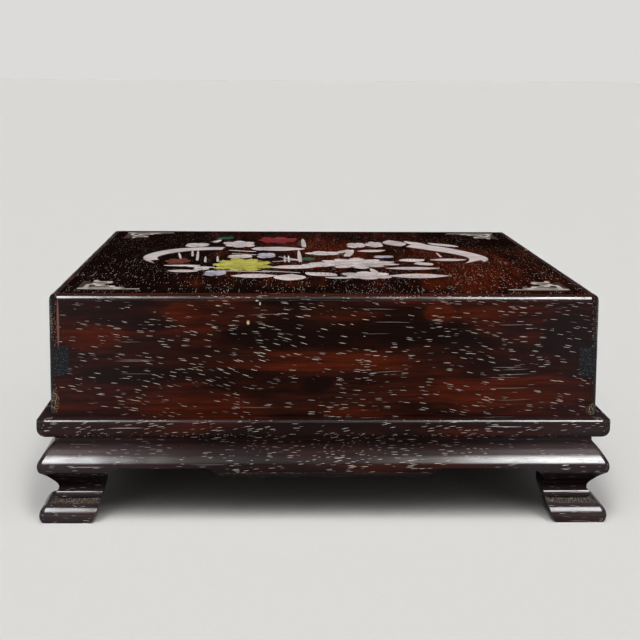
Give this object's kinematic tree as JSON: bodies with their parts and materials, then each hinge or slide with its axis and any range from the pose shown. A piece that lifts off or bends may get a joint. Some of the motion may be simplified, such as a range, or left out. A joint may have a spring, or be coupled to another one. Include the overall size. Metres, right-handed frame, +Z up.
{
  "type": "ink stick and stone box",
  "caption": "Low rosewood box on bracket feet with a lift-off lid inlaid with a flower spray; inside, an inkstone in a bed and an ink stick in a slot.",
  "frame": {"origin": "on the surface that the box stands on, under the middle of the box", "axes": "+Z up; +Y from the front to the back along the box's long side; +X to the right along its short side, seen from the front"},
  "size_m": [0.1572, 0.1872, 0.0634],
  "materials": {
    "rosewood": "waxed dark red-brown rosewood with pale dust in the pores",
    "white_shell": "polished mother-of-pearl with engraved veins",
    "lavender_shell": "polished grey-lavender shell with engraved veins",
    "yellow_stone": "polished yellow soapstone with engraved petals",
    "red_stone": "polished red soapstone",
    "green_stone": "polished green soapstone",
    "inkstone_slate": "fine-ground dark slate, waxed outside",
    "pressed_ink": "pressed soot and glue, low sheen, gilt border"
  },
  "bodies": {
    "base": {"back_foot_rail": "rosewood", "back_frame_rail": "rosewood", "front_foot_rail": "rosewood", "front_frame_rail": "rosewood", "left_foot_rail": "rosewood", "left_frame_rail": "rosewood", "right_foot_rail": "rosewood", "right_frame_rail": "rosewood", "tray_board": "rosewood"},
    "lid": {"lid_back_board": "rosewood", "lid_front_board": "rosewood", "lid_left_board": "rosewood", "lid_right_board": "rosewood", "lid_top_panel": "rosewood", "corner_scroll_back_left": "white_shell", "corner_scroll_back_right": "white_shell", "corner_scroll_front_left": "white_shell", "corner_scroll_front_right": "white_shell", "green_leaves": "green_stone", "lavender_petals": "lavender_shell", "red_bud": "red_stone", "red_flower": "red_stone", "shell_leaves": "white_shell", "shell_petals": "white_shell", "shell_ring_left": "white_shell", "shell_ring_right": "white_shell", "shell_stems": "white_shell", "white_peony": "white_shell", "yellow_flower": "yellow_stone"},
    "inkstone": {"inkstone": "inkstone_slate"},
    "ink_stick": {"ink_stick": "pressed_ink"}
  },
  "joints": [
    {"name": "lid_lift", "type": "slide", "parent": "base", "child": "lid", "axis": [0, 0, 1], "range_m": [0, 0.1]},
    {"name": "inkstone_lift", "type": "slide", "parent": "base", "child": "inkstone", "axis": [0, 0, 1], "range_m": [0, 0.035]},
    {"name": "ink_stick_lift", "type": "slide", "parent": "base", "child": "ink_stick", "axis": [0, 0, 1], "range_m": [0, 0.05]}
  ],
  "couplings": [
    {"joint": "inkstone_lift", "follows": "lid_lift", "ratio": 0.35},
    {"joint": "ink_stick_lift", "follows": "lid_lift", "ratio": 0.5}
  ]
}
